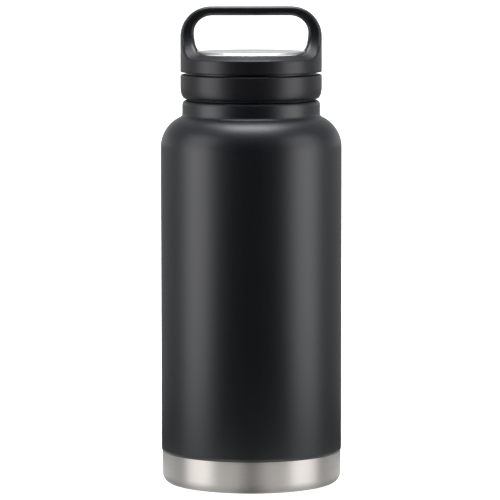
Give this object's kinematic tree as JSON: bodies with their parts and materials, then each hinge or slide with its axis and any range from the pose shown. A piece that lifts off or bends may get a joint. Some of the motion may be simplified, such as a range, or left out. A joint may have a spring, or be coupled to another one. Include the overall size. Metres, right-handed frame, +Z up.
{
  "type": "growler",
  "caption": "Double-wall insulated steel growler with a black coated body, bare steel base and a screw lid in two stages with a carry loop.",
  "frame": {"origin": "on the bottle's axis, at the plane that the base stands on", "axes": "+Z up along the bottle's axis, X across the carry loop from one upright to the other, -Y is the front that faces the viewer"},
  "size_m": [0.0926, 0.0924, 0.2442],
  "materials": {
    "powder_coat": "satin black powder coat with a fine even texture",
    "base_steel": "brushed round the axis",
    "liner_steel": "satin, electropolished",
    "disc_steel": "fine satin with a bright rolled edge",
    "lid_plastic": "satin moulded polypropylene",
    "core_plastic": "smooth moulded polypropylene",
    "silicone": "matte silicone",
    "foam": "closed-cell insulating foam",
    "copper_foil": "bright copper foil",
    "getter_metal": "pressed metal powder",
    "seal_bead": "fused bead",
    "adhesive_pad": "bonding pad"
  },
  "bodies": {
    "bottle": {"outer_shell": "powder_coat", "base_cup": "base_steel", "base_cover": "base_steel", "vacuum_seal": "seal_bead", "neck_ring": "liner_steel", "inner_liner": "liner_steel", "liner_base": "liner_steel", "copper_wrap": "copper_foil", "getter": "getter_metal", "getter_holder": "liner_steel"},
    "neck_seal": {"neck_gasket": "silicone"},
    "collar": {"collar_shell": "lid_plastic", "collar_plug": "core_plastic", "pouring_throat": "core_plastic", "collar_foam": "foam"},
    "stopper_seal": {"stopper_gasket": "silicone"},
    "cap": {"handle_cap": "lid_plastic", "stopper_cup": "core_plastic", "stopper_foam": "foam", "cap_disc": "disc_steel", "disc_adhesive": "adhesive_pad"}
  },
  "joints": [
    {"name": "collar_rise", "type": "slide", "parent": "bottle", "child": "neck_seal", "axis": [0, 0, 1], "range_m": [0, 0.0181]},
    {"name": "collar_turn", "type": "hinge", "parent": "neck_seal", "child": "collar", "pos_m": [0, 0, 0.1984], "axis": [0, 0, 1], "range_deg": [0, 1080]},
    {"name": "cap_rise", "type": "slide", "parent": "collar", "child": "stopper_seal", "axis": [0, 0, 1], "range_m": [0, 0.0181]},
    {"name": "cap_turn", "type": "hinge", "parent": "stopper_seal", "child": "cap", "pos_m": [0, 0, 0.2115], "axis": [0, 0, 1], "range_deg": [0, 1080]}
  ],
  "couplings": [
    {"joint": "collar_rise", "follows": "collar_turn", "m_per_rad": 0.00095493},
    {"joint": "cap_rise", "follows": "cap_turn", "m_per_rad": 0.00095493}
  ]
}
